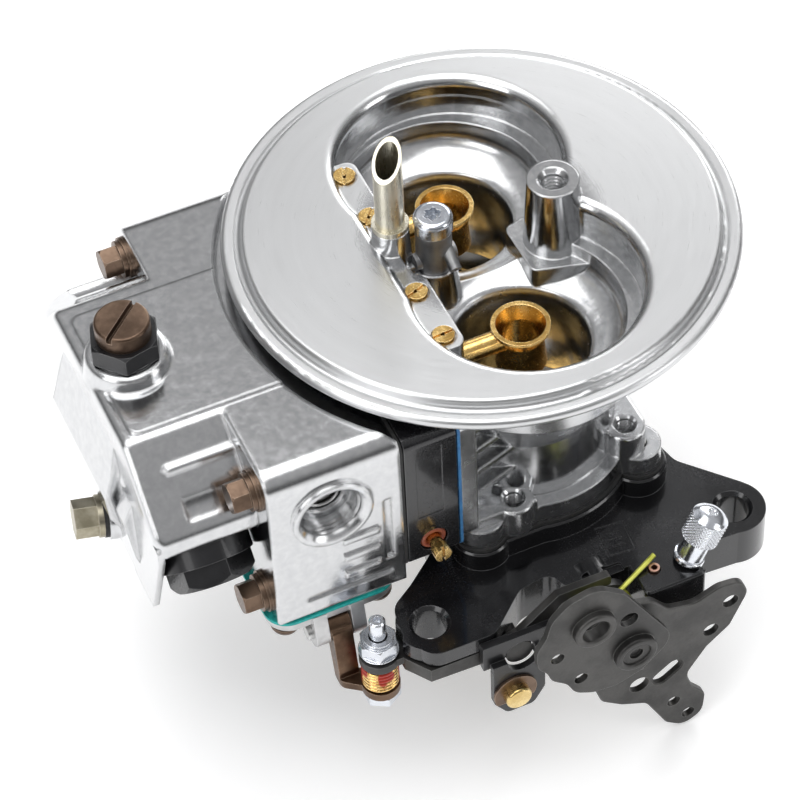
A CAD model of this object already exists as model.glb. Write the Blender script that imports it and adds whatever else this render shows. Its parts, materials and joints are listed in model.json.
# %% [markdown]
# # A two-barrel carburetor, from bare castings to finished metal
#
# The shapes come from a finished set of solid parts, and this script gives them their looks. It loads those
# parts as a fixed frame, makes one finish for each kind of metal, rubber and plating, adds the small turned
# and threaded details that the plain solids lack, and ends with a floor, lights and a camera. Every length
# is in metres, and a helper turns millimetres into metres where a workshop size reads better.

import json
import math

import bmesh
import bpy
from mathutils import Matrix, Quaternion, Vector


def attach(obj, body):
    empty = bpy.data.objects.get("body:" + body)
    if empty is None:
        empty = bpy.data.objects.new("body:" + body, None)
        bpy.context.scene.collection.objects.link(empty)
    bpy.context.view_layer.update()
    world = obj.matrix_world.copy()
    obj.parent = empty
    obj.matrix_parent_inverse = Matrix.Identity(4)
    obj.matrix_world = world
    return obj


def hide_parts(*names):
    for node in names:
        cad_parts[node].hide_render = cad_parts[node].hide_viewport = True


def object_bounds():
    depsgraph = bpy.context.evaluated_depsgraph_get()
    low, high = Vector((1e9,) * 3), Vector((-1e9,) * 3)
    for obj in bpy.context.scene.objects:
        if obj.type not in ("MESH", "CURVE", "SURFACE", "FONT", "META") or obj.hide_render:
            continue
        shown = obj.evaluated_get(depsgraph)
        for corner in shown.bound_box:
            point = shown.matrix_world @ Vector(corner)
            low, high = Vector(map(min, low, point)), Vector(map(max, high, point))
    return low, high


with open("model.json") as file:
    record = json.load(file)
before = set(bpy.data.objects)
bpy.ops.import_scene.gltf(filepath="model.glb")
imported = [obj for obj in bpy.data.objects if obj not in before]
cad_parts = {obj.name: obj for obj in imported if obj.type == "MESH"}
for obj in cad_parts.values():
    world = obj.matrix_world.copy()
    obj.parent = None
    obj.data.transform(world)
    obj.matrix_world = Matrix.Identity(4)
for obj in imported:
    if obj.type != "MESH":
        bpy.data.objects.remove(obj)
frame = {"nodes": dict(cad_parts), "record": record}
cad_low, cad_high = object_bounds()
MM = 0.001
print("size in mm:", [round((b - a) / MM, 1) for a, b in zip(cad_low, cad_high)])

# %% [markdown]
# ## Sums written with sockets
#
# A finish is a small calculation: how rough, how dark, how high. Drawn by hand it is a web of Math nodes.
# It reads better as arithmetic, so a socket is wrapped in a small class that answers to +, - and *, and each
# of those adds the Math node that does it. Numbers known beforehand are still worked out in Python.

# %% A socket that can be added and multiplied
class Wire:
    def __init__(self, finish, socket):
        self.finish = finish
        self.socket = socket

    def math(self, operation, *others):
        return self.finish.node("ShaderNodeMath", {"operation": operation}, [self, *others])[0]

    def __add__(self, other):
        return self.math("ADD", other)

    def __sub__(self, other):
        return self.math("SUBTRACT", other)

    def __rsub__(self, other):
        return self.finish.node("ShaderNodeMath", {"operation": "SUBTRACT"}, [other, self])[0]

    def __mul__(self, other):
        return self.math("MULTIPLY", other)

    __radd__ = __add__

    def ease(self, low, high, start=0.0, end=1.0):
        """Runs from start to end as the value goes from low to high, eased at both ends."""
        settings = {"interpolation_type": "SMOOTHSTEP"}
        values = {"Value": self, "From Min": low, "From Max": high, "To Min": start, "To Max": end}
        return self.finish.node("ShaderNodeMapRange", settings, values)["Result"]


print("wire helper ready")

# %% [markdown]
# ## One place where nodes are made
#
# A finish holds a material and its Principled shader. Every node that isn't arithmetic is added by one
# method that takes the node's type, the settings to make first, and the values or wires of its sockets.
# Whatever stays the same over the whole surface goes straight on the shader's own sockets.

# %% The finish and its node method
class Outputs:
    """The outputs of one node, by name or by place."""

    def __init__(self, finish, made):
        self.finish = finish
        self.made = made

    def __getitem__(self, key):
        return Wire(self.finish, self.made.outputs[key])


class Finish:
    made = {}

    def __init__(self, name, **constants):
        self.material = bpy.data.materials.new(name)
        self.material.use_nodes = True
        self.tree = self.material.node_tree
        self.tree.nodes.clear()
        self.skin = self.tree.nodes.new("ShaderNodeBsdfPrincipled")
        end = self.tree.nodes.new("ShaderNodeOutputMaterial")
        self.tree.links.new(self.skin.outputs[0], end.inputs[0])
        for key, value in constants.items():
            self.skin.inputs[key.replace("_", " ")].default_value = value
        Finish.made[name] = self

    def node(self, kind, settings=None, sockets=None):
        made = self.tree.nodes.new(kind)
        for key, value in (settings or {}).items():
            if key == "stops":
                ramp = made.color_ramp
                while len(ramp.elements) < len(value):
                    ramp.elements.new(0.5)
                for stop, (place, colour) in zip(ramp.elements, value):
                    stop.position = place
                    stop.color = (*colour, 1.0)
            else:
                setattr(made, key, value)
        pairs = sockets.items() if isinstance(sockets, dict) else enumerate(sockets or [])
        for key, value in pairs:
            if isinstance(value, Wire):
                self.tree.links.new(value.socket, made.inputs[key])
            else:
                made.inputs[key].default_value = value
        return Outputs(self, made)

    def feed(self, socket, wire):
        self.tree.links.new(wire.socket, self.skin.inputs[socket])


print("finish helper ready")

# %% [markdown]
# ## Grain, colour and edges
#
# Four things turn up in almost every finish. Grain is noise at the scale of a casting's skin or a buffing
# wheel's marks. Tint mixes two colours by a mask. Relief turns a height into a bump, and starts from a
# Bevel node, so that light catches a thin rounded edge where the solid's edge is dead sharp. The edge mask
# compares that rounded direction with the true one, and is used for bright or worn corners.

# %% Grain, tint, relief and edge masks
def place(finish):
    """Where a point is on the part, in metres."""
    return finish.node("ShaderNodeTexCoord")["Object"]


def stretch(finish, where, size):
    """The same place with its three directions scaled by different amounts."""
    return finish.node("ShaderNodeMapping", None, {"Vector": where, "Scale": size})["Vector"]


def grain(finish, where, scale, detail=3.0, rough=0.55, warp=0.0):
    values = {"Vector": where, "Scale": scale, "Detail": detail, "Roughness": rough, "Distortion": warp}
    return finish.node("ShaderNodeTexNoise", None, values)["Fac"]


def tint(finish, mask, dark, light):
    """Mixes two colours, or a colour and a wire of colour."""
    made = finish.tree.nodes.new("ShaderNodeMix")
    made.data_type = "RGBA"
    for index, value in ((0, mask), (6, dark), (7, light)):
        if isinstance(value, Wire):
            finish.tree.links.new(value.socket, made.inputs[index])
        else:
            made.inputs[index].default_value = value if index == 0 else (*value, 1.0)
    return Wire(finish, made.outputs[2])


def rounded(finish, radius):
    return finish.node("ShaderNodeBevel", {"samples": 4}, {"Radius": radius * MM})["Normal"]


def relief(finish, height, depth, radius=0.25):
    """Bump of that depth in mm over edges rounded to radius in mm."""
    values = {"Strength": 1.0, "Distance": depth * MM, "Height": height}
    if radius:
        values["Normal"] = rounded(finish, radius)
    finish.feed("Normal", finish.node("ShaderNodeBump", None, values)["Normal"])


def edge_mask(finish, radius=0.5, low=0.02, high=0.2):
    """1 on a convex or concave edge and 0 on the faces between."""
    flat = finish.node("ShaderNodeNewGeometry")["Normal"]
    dot = finish.node("ShaderNodeVectorMath", {"operation": "DOT_PRODUCT"}, [rounded(finish, radius), flat])
    return (1 - dot["Value"]).ease(low, high)


print("grain, tint, relief and edge mask ready")

# %% [markdown]
# ## Plated and machined metal
#
# Screws, nuts, levers and tubes are all bare or plated metal, and differ in colour, in how dull the plating
# is, and in how much of it has rubbed off on the corners. One recipe with those as its choices covers them:
# two tones of the metal mixed by a cloudy noise, fine roughness variation, faint marks, and a paler or
# darker colour on the edges.

# %% Recipe for plated metal
def plated(name, dark, light, rough=(0.25, 0.4), cloud=90, fine=1500, depth=0.012, edge=None, metal=1.0,
           streak=None):
    finish = Finish(name, Metallic=metal)
    where = place(finish)
    cloudy = grain(finish, where, cloud, 4.0, 0.6)
    lined = stretch(finish, where, streak) if streak else where
    small = grain(finish, lined, fine, 3.0, 0.6)
    colour = tint(finish, cloudy.ease(0.3, 0.7), dark, light)
    if edge:
        colour = tint(finish, edge_mask(finish) * (0.35 + small * 0.65), colour, edge)
    finish.feed("Base Color", colour)
    low, high = rough
    finish.feed("Roughness", (cloudy * 0.4 + small * 0.6).ease(0.3, 0.7, low, high))
    relief(finish, small, depth)
    return finish


plated("bright_zinc", (0.60, 0.63, 0.68), (0.80, 0.82, 0.86), (0.14, 0.26), edge=(0.9, 0.91, 0.93))
plated("nozzle_zinc", (0.20, 0.20, 0.205), (0.33, 0.33, 0.33), (0.34, 0.52), depth=0.03, fine=1100,
       edge=(0.5, 0.5, 0.5))
plated("nickel_tube", (0.62, 0.58, 0.46), (0.80, 0.76, 0.64), (0.22, 0.34), streak=(1, 1, 0.06), fine=2600,
       depth=0.01)
plated("steel_parts", (0.42, 0.42, 0.42), (0.62, 0.62, 0.61), (0.24, 0.38), edge=(0.75, 0.75, 0.75))
plated("brass_parts", (0.62, 0.37, 0.10), (0.90, 0.62, 0.24), (0.16, 0.30), cloud=140, edge=(1.0, 0.80, 0.45))
plated("bronze_screws", (0.085, 0.055, 0.038), (0.20, 0.135, 0.095), (0.28, 0.44), edge=(0.45, 0.34, 0.26),
       metal=0.9)
plated("olive_zinc", (0.30, 0.27, 0.19), (0.48, 0.44, 0.34), (0.28, 0.42), cloud=160, edge=(0.62, 0.58, 0.48))
plated("bronze_filter", (0.28, 0.18, 0.09), (0.50, 0.35, 0.18), (0.5, 0.7), depth=0.08, fine=2200)
plated("bronze_arm", (0.075, 0.045, 0.03), (0.18, 0.115, 0.075), (0.26, 0.42), edge=(0.45, 0.34, 0.26))
plated("cast_zinc", (0.46, 0.46, 0.46), (0.66, 0.66, 0.66), (0.34, 0.5), depth=0.05, fine=700,
       edge=(0.8, 0.8, 0.8))
plated("grey_phosphate", (0.045, 0.044, 0.043), (0.085, 0.083, 0.080), (0.36, 0.50), depth=0.018, fine=1300,
       edge=(0.22, 0.22, 0.21), metal=0.8)
plated("gold_screw", (0.62, 0.44, 0.17), (0.88, 0.70, 0.36), (0.2, 0.34), edge=(1.0, 0.86, 0.55))
plated("copper_tube", (0.62, 0.36, 0.27), (0.84, 0.56, 0.44), (0.28, 0.42))
plated("yellow_spring", (0.44, 0.46, 0.06), (0.72, 0.74, 0.16), (0.3, 0.42), cloud=300, metal=0.7)
print("plated metals:", sorted(Finish.made))

# %% [markdown]
# ## Black anodised and painted pieces
#
# The base, the metering block, the big plug and the adjusting nut are aluminium dyed black. The dye sits
# under a hard clear skin, so the piece is dark, glossy and a little uneven, and its corners catch a thin
# grey line. A clear coat over a dark, half-metallic body gives both the depth and the sharp highlight.

# %% Black finishes
def black_skin(name, rough, coat, depth, edge=(0.16, 0.16, 0.165)):
    finish = Finish(name, Metallic=0.35, Coat_Weight=coat, Coat_Roughness=0.08)
    where = place(finish)
    cloudy = grain(finish, where, 60, 4.0)
    small = grain(finish, where, 1400, 2.0)
    body = tint(finish, cloudy.ease(0.3, 0.7), (0.006, 0.006, 0.007), (0.016, 0.016, 0.018))
    finish.feed("Base Color", tint(finish, edge_mask(finish, 0.4) * 0.7, body, edge))
    finish.feed("Roughness", (cloudy + small).ease(0.6, 1.4, *rough))
    relief(finish, small, depth, 0.35)
    return finish


black_skin("black_anodised", (0.16, 0.30), 0.55, 0.008)
black_skin("black_plugs", (0.26, 0.40), 0.25, 0.015, (0.22, 0.22, 0.22))
black_skin("black_bracket", (0.30, 0.45), 0.3, 0.02)
print("black finishes done")

# %% [markdown]
# ## Polished bowl and body
#
# The two big castings are tumbled and buffed until they are nearly mirrors, but never flat ones: the metal
# still has a gentle waviness, finer haze in the corners where the wheel didn't reach, and stray hairlines.
# Three sizes of noise give those three things. Roughness carries most of it, since on a mirror a little
# haze shows far more than a little colour.

# %% Buffed aluminium
def buffed(name):
    finish = Finish(name, Metallic=1.0)
    where = place(finish)
    wavy = grain(finish, where, 70, 2.0, 0.5)
    haze = grain(finish, where, 420, 5.0, 0.6, 0.3)
    hair = grain(finish, stretch(finish, where, (1, 0.06, 1)), 3200, 2.0, 0.5)
    corner = edge_mask(finish, 1.5, 0.03, 0.35)
    colour = tint(finish, haze.ease(0.2, 0.85), (0.56, 0.565, 0.575), (0.66, 0.665, 0.67))
    return finish, where, wavy, haze, hair, corner, colour


finish, where, wavy, haze, hair, corner, colour = buffed("bowl_aluminium")
finish.feed("Base Color", tint(finish, corner * 0.25, colour, (0.95, 0.95, 0.955)))
finish.feed("Roughness", haze.ease(0.2, 0.9, 0.10, 0.17) + corner * 0.05 + hair * 0.04)
relief(finish, wavy * 0.75 + haze * 0.2 + hair * 0.05, 0.14, 1.5)
print("bowl aluminium done")

# %% [markdown]
# ## The turned flange
#
# The round air-cleaner flange is faced in a lathe, so its top and lip carry fine rings round the centre,
# while the casting under it is buffed. Both are one solid, so one material has to know where it is: above a
# height and on a face that looks up, the rings take over. Their height depends on the distance from the
# centre and only a little on the angle, which keeps the rings long and slightly broken.

# %% Turned and buffed aluminium of the main body
finish, where, wavy, haze, hair, corner, colour = buffed("body_aluminium")
axes = finish.node("ShaderNodeSeparateXYZ", None, [where])
across = axes["X"]
along = axes["Y"]
reach = (across * across + along * along).math("SQRT")
turn = along.math("ARCTAN2", across)
ring_place = finish.node("ShaderNodeCombineXYZ", None, [reach * 1000, turn * 0.8, 0.0])["Vector"]
rings = grain(finish, ring_place, 6.5, 3.0, 0.6)
broad_rings = grain(finish, ring_place, 0.35, 2.0, 0.5)
faces_up = finish.node("ShaderNodeSeparateXYZ", None,
                       [finish.node("ShaderNodeNewGeometry")["Normal"]])["Z"]
flange_low = 81.0 * MM
lip_start = 64.5 * MM
above = axes["Z"].ease(flange_low - 0.3 * MM, flange_low)
turned = above * reach.ease(27 * MM, 36 * MM) * faces_up.ease(0.55, 0.9)
rim = above * reach.ease(lip_start - 1 * MM, lip_start)
turned = turned.math("MAXIMUM", rim)
inside = (1 - axes["Z"].ease(28 * MM, 64 * MM)) * (1 - reach.ease(52 * MM, 54 * MM))
machined = tint(finish, rings * 0.5 + broad_rings * 0.5, (0.56, 0.565, 0.57), (0.66, 0.665, 0.67))
colour = tint(finish, turned, colour, machined)
finish.feed("Base Color", tint(finish, corner * 0.25, colour, (0.95, 0.95, 0.955)))
low_side = 1 - axes["Z"].ease(60 * MM, 80 * MM)
buffed_rough = haze.ease(0.2, 0.9, 0.12, 0.20) + corner * 0.05 + low_side * (1 - inside) * 0.10
turned_rough = rings.ease(0.2, 0.8, 0.27, 0.33)
finish.feed("Roughness", buffed_rough * (1 - turned) + turned_rough * turned)
relief(finish, (wavy * 0.8 + haze * 0.2) * (1 - turned) * 30 + rings * turned, 0.005, 0.8)
print("body aluminium done")

# %% [markdown]
# ## Gaskets, rubber, foam and plastic
#
# The soft pieces show only as thin lines between the metal, but each has its own colour: a blue paper
# gasket, a teal pump diaphragm, a reddish seal ring, a black foam float. They are dull, slightly fibrous,
# and have no clear highlight, so high roughness and a fine bump do the work.

# %% Soft finishes
def soft(name, dark, light, rough=(0.6, 0.8), fine=900, depth=0.03):
    finish = Finish(name, Metallic=0.0)
    where = place(finish)
    fibre = grain(finish, where, fine, 5.0, 0.7, 0.6)
    finish.feed("Base Color", tint(finish, fibre.ease(0.3, 0.7), dark, light))
    finish.feed("Roughness", fibre.ease(0.2, 0.8, *rough))
    relief(finish, fibre, depth, 0.1)
    return finish


soft("gasket_black", (0.01, 0.01, 0.01), (0.03, 0.03, 0.03))
soft("gasket_blue", (0.02, 0.10, 0.26), (0.05, 0.22, 0.46))
soft("teal_diaphragm", (0.0, 0.28, 0.26), (0.02, 0.46, 0.42))
soft("rubber_seals", (0.20, 0.04, 0.02), (0.42, 0.12, 0.06), (0.4, 0.55))
soft("black_float", (0.012, 0.012, 0.012), (0.03, 0.03, 0.03), (0.7, 0.9), 400, 0.1)
soft("plunger_plastic", (0.55, 0.54, 0.50), (0.75, 0.74, 0.70), (0.3, 0.45), 300, 0.01)
soft("cam_plastic", (0.02, 0.02, 0.02), (0.05, 0.05, 0.05), (0.3, 0.45), 300, 0.01)
print("soft finishes done")

# %% [markdown]
# ## The painted spring
#
# The pump's over-travel spring is brass-coloured wire with a dab of red paint to tell its rate, and the
# paint has run into patches. A noise stretched along the spring decides where the red sits.

# %% Gold spring with red paint
finish = Finish("gold_spring", Coat_Weight=0.2, Coat_Roughness=0.2)
where = place(finish)
patch = grain(finish, stretch(finish, where, (1, 1, 0.5)), 190, 2.0, 0.4)
paint = patch.ease(0.47, 0.53)
small = grain(finish, where, 1500, 3.0)
gold = tint(finish, small.ease(0.3, 0.7), (0.62, 0.36, 0.10), (0.95, 0.66, 0.28))
finish.feed("Base Color", tint(finish, paint, gold, (0.42, 0.03, 0.015)))
finish.feed("Metallic", 1 - paint * 0.75)
finish.feed("Roughness", small.ease(0.3, 0.7, 0.18, 0.3) + paint * 0.12)
relief(finish, paint + small * 0.1, 0.03, 0.0)
print("spring finish done")

# %% [markdown]
# ## Handing the finishes out
#
# The record says which material slot each solid belongs to. Two solids share the polished slot but not the
# same finish: the bowl is buffed all over, and the main body has the turned flange as well.

# %% Put a finish on every solid
own_finish = {"main_body": "body_aluminium", "fuel_bowl": "bowl_aluminium"}
slot_of = {entry["node"]: entry["material_slot"] for entry in frame["record"]["subparts"]}
for name, solid in frame["nodes"].items():
    chosen = Finish.made[own_finish.get(name, slot_of.get(name, "steel_parts"))]
    solid.data.materials.clear()
    solid.data.materials.append(chosen.material)
print("finished solids:", len(frame["nodes"]))

# %% [markdown]
# ## Making a turned piece
#
# A lathe turns a profile about an axis. In code the profile is a list of radius and height pairs, and the
# mesh is those points repeated round the axis. A callback may change the radius at each point, which is how
# a knurl is rolled into a knob or flats are cut on a nut.

# %% Lathe
def lathe(name, profile, start, axis, around=64, shape=None):
    """Turn (radius, height) pairs, both in mm, about an axis that starts at a point in mm."""
    up = Vector(axis).normalized()
    side = up.cross(Vector((0, 1, 0.1))).normalized()
    other = up.cross(side)
    mesh = bmesh.new()
    rows = []
    for radius, height in profile:
        row = []
        for k in range(around):
            angle = 2 * math.pi * k / around
            r = shape(radius, height, angle) if shape else radius
            spot = Vector(start) + up * height + (side * math.cos(angle) + other * math.sin(angle)) * r
            row.append(mesh.verts.new(spot * MM))
        rows.append(row)
    for low, high in zip(rows, rows[1:]):
        for k in range(around):
            j = (k + 1) % around
            mesh.faces.new((low[k], low[j], high[j], high[k]))
    for row in (rows[0], rows[-1]):
        if (row[0].co - row[around // 2].co).length > 0.0001:
            mesh.faces.new(row)
    bmesh.ops.recalc_face_normals(mesh, faces=mesh.faces)
    return keep(name, mesh)


def keep(name, mesh, smooth=30):
    """Turn a bmesh into an object, smooth except on edges sharper than the angle given."""
    data = bpy.data.meshes.new(name)
    mesh.to_mesh(data)
    mesh.free()
    made = bpy.data.objects.new(name, data)
    bpy.context.collection.objects.link(made)
    data.shade_smooth()
    data.set_sharp_from_angle(angle=math.radians(smooth))
    return made


def dress(piece, finish, body):
    piece.data.materials.append(Finish.made[finish].material)
    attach(piece, body)
    return piece


print("lathe ready")

# %% [markdown]
# ## The knurled idle-speed knob
#
# The idle screw is turned by hand, so its head is rolled with a diamond knurl: two sets of slanting grooves
# that cross and leave small pyramids. The height of such a pyramid is the lower of two zigzags, one running
# up to the left and one up to the right. The rest of the screw is a plain turned profile.

# %% Idle-speed screw
def zigzag(value):
    return abs((value % 1.0) - 0.5) * 2


knurl_low = 8.75
knurl_high = 16.15
knurl_ridges = 30


def knurl(radius, height, angle):
    if not knurl_low < height < knurl_high:
        return radius
    lean = height / 1.1
    count = knurl_ridges * angle / (2 * math.pi)
    return radius - 0.40 + 0.52 * min(zigzag(count + lean), zigzag(count - lean))


idle_start = (25.2, -76.5, 13.4)
idle_axis = (0.382, -0.03, 0.924)
profile = [(2.0, -13.4), (2.8, -12.6)]
for k in range(38):
    profile.append((2.8 - 0.32 * (k % 2), -12.3 + k * 0.33))
profile += [(2.9, 0.1), (4.3, 0.15), (4.5, 0.35), (4.5, 1.3), (4.3, 1.55), (3.9, 1.7), (3.9, 7.6), (4.2, 8.1)]
profile += [(5.0, 8.4), (5.25, 8.7)]
profile += [(5.3, 8.8 + k * 0.1) for k in range(74)]
profile += [(5.2, 16.3), (4.9, 16.7), (4.6, 16.85), (4.3, 17.2)]
profile += [(3.3, 17.9), (2.2, 18.2), (1.3, 18.2), (0.9, 17.9)]
idle = lathe("idle_knob", profile, idle_start, idle_axis, 180, knurl)
dress(idle, "bright_zinc", "idle_screw")
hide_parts("idle_speed_screw")
print("idle screw:", len(idle.data.vertices), "points")

# %% [markdown]
# ## Threads in the open holes
#
# The holes that are open to view are tapped: the stud boss, the four side bosses and the fuel inlet. Cutting
# threads into the castings would make heavy solids, so each thread is a separate helix of four points that
# slides down the wall: out, in, in, out. From any angle it reads as a cut thread.

# %% Helical threads
def thread(name, mouth, axis, radius, pitch, turns, crest=0.42, finish="body_aluminium"):
    """A V thread that goes inward from the hole's mouth, all sizes in mm."""
    out = Vector(axis).normalized()
    side = out.cross(Vector((0.3, 0.2, 0.9))).normalized()
    other = out.cross(side)
    mesh = bmesh.new()
    steps = 40
    last = None
    for k in range(int(turns * steps) + 1):
        angle = 2 * math.pi * k / steps
        sink = pitch * k / steps
        taper = min(1.0, k / 14, (turns * steps - k) / 14)
        ray = side * math.cos(angle) + other * math.sin(angle)
        row = []
        for r, dz in ((radius + 0.02, -0.46), (radius - crest * taper, -0.06), (radius - crest * taper, 0.06),
                      (radius + 0.02, 0.46)):
            row.append(mesh.verts.new((Vector(mouth) + ray * r - out * (sink + (dz + 0.5) * pitch)) * MM))
        if last:
            for a in range(3):
                mesh.faces.new((last[a], last[a + 1], row[a + 1], row[a]))
        last = row
    bmesh.ops.recalc_face_normals(mesh, faces=mesh.faces)
    made = keep(name, mesh, 25)
    return dress(made, finish, "housing")


thread("stud_thread", (21.6, 0, 92.0), (0, 0, 1), 3.1, 1.27, 14, 0.55)
thread("inlet_thread", (-69, -54.9, 60), (0, -1, 0), 8.4, 1.27, 4.2, 0.6, "bowl_aluminium")
boss_mouths = [(-14.5, -49.5, 30.1), (22.6, -43.0, 35.1), (-14.5, 49.5, 30.1), (22.6, 43.0, 35.1)]
for number, mouth in enumerate(boss_mouths):
    thread("boss_thread_" + str(number), mouth, (0, 0, 1), 2.6, 0.8, 8, 0.34)
print("threads cut")

# %% [markdown]
# ## Floor
#
# A plain pale floor carries the soft shadow that shows how the part stands. It is large enough to fill the
# view, lies at the part's lowest point, and has only a faint unevenness so that it isn't a flat colour.

# %% Pale floor
finish = Finish("pale_floor", Metallic=0.0, Emission_Color=(1, 1, 1, 1), Emission_Strength=0.28)
where = place(finish)
paper = grain(finish, where, 4, 3.0)
finish.feed("Base Color", tint(finish, paper, (0.86, 0.86, 0.865), (0.90, 0.90, 0.90)))
finish.feed("Roughness", paper.ease(0.2, 0.8, 0.6, 0.75))
sheet = bmesh.new()
bmesh.ops.create_grid(sheet, x_segments=4, y_segments=4, size=6.0)
floor = keep("floor", sheet)
floor.location = (0, 0, cad_low[2] - 0.0005)
floor.data.materials.append(finish.material)
print("floor at", round(floor.location.z / MM, 1), "mm")

# %% [markdown]
# ## Light
#
# Polished metal has no look of its own, it shows the room. A plain white room would leave it flat and a dark
# one would leave it black, so the room is a bright ceiling, a paler ground and a dark band at the horizon,
# with large soft lamps above, in front, to the left and behind. They give the shadows and long highlights.

# %% Room and soft lamps
world = bpy.data.worlds.new("studio_room")
world.use_nodes = True
bpy.context.scene.world = world
tree = world.node_tree
backdrop = tree.nodes["Background"]
way = tree.nodes.new("ShaderNodeTexCoord")
split = tree.nodes.new("ShaderNodeSeparateXYZ")
ramp = tree.nodes.new("ShaderNodeValToRGB")
tree.links.new(way.outputs["Generated"], split.inputs[0])
height = tree.nodes.new("ShaderNodeMapRange")
height.inputs["From Min"].default_value = -1
tree.links.new(split.outputs["Z"], height.inputs["Value"])
tree.links.new(height.outputs["Result"], ramp.inputs[0])
tree.links.new(ramp.outputs[0], backdrop.inputs[0])
stops = [(0.0, 0.55), (0.45, 0.35), (0.52, 0.10), (0.64, 0.16), (0.78, 0.50), (1.0, 0.62)]
while len(ramp.color_ramp.elements) < len(stops):
    ramp.color_ramp.elements.new(0.5)
for stop, (spot, value) in zip(ramp.color_ramp.elements, stops):
    stop.position = spot
    stop.color = (value, value, value * 1.01, 1.0)
backdrop.inputs[1].default_value = 0.85


def softbox(name, spot, target, width, height, power):
    lamp = bpy.data.lights.new(name, "AREA")
    lamp.shape = "RECTANGLE"
    lamp.size = width
    lamp.size_y = height
    lamp.energy = power
    made = bpy.data.objects.new(name, lamp)
    made.location = spot
    made.rotation_euler = (Vector(target) - Vector(spot)).to_track_quat("-Z", "Y").to_euler()
    bpy.context.collection.objects.link(made)


softbox("overhead", (-0.1, 0.1, 1.3), (0, 0, 0), 1.3, 1.0, 12)
softbox("left_front", (-1.2, -0.5, 0.7), (0, 0, 0.03), 0.7, 0.9, 6)
softbox("right_back", (0.8, 1.0, 0.7), (0, 0, 0.03), 0.9, 0.5, 7)
softbox("right_front", (0.9, -0.9, 0.5), (0, 0, 0.03), 0.4, 0.7, 3)
print("lamps: 4")

# %% [markdown]
# ## Camera
#
# The part is seen from the front left and well above, through a long lens, so that the flange is a wide
# ellipse and lines hardly converge. The camera looks at a fixed point and is tilted a little about its view
# axis, and it has neither shift nor depth of field.

# %% Camera
eye = Vector((-254.51, -570.66, 735.13)) * MM
aim = Vector((-28.98, -6.81, 34.5)) * MM
lens = bpy.data.cameras.new("camera")
lens.lens = 150.29
lens.sensor_width = 36
camera = bpy.data.objects.new("camera", lens)
camera.location = eye
camera.rotation_mode = "QUATERNION"
level = (aim - eye).to_track_quat("-Z", "Y")
camera.rotation_quaternion = level @ Quaternion((0, 0, 1), math.radians(-3.183))
bpy.context.collection.objects.link(camera)
bpy.context.scene.camera = camera
bpy.context.scene.view_settings.view_transform = "Standard"
print("camera distance in mm:", round((aim - eye).length / MM))
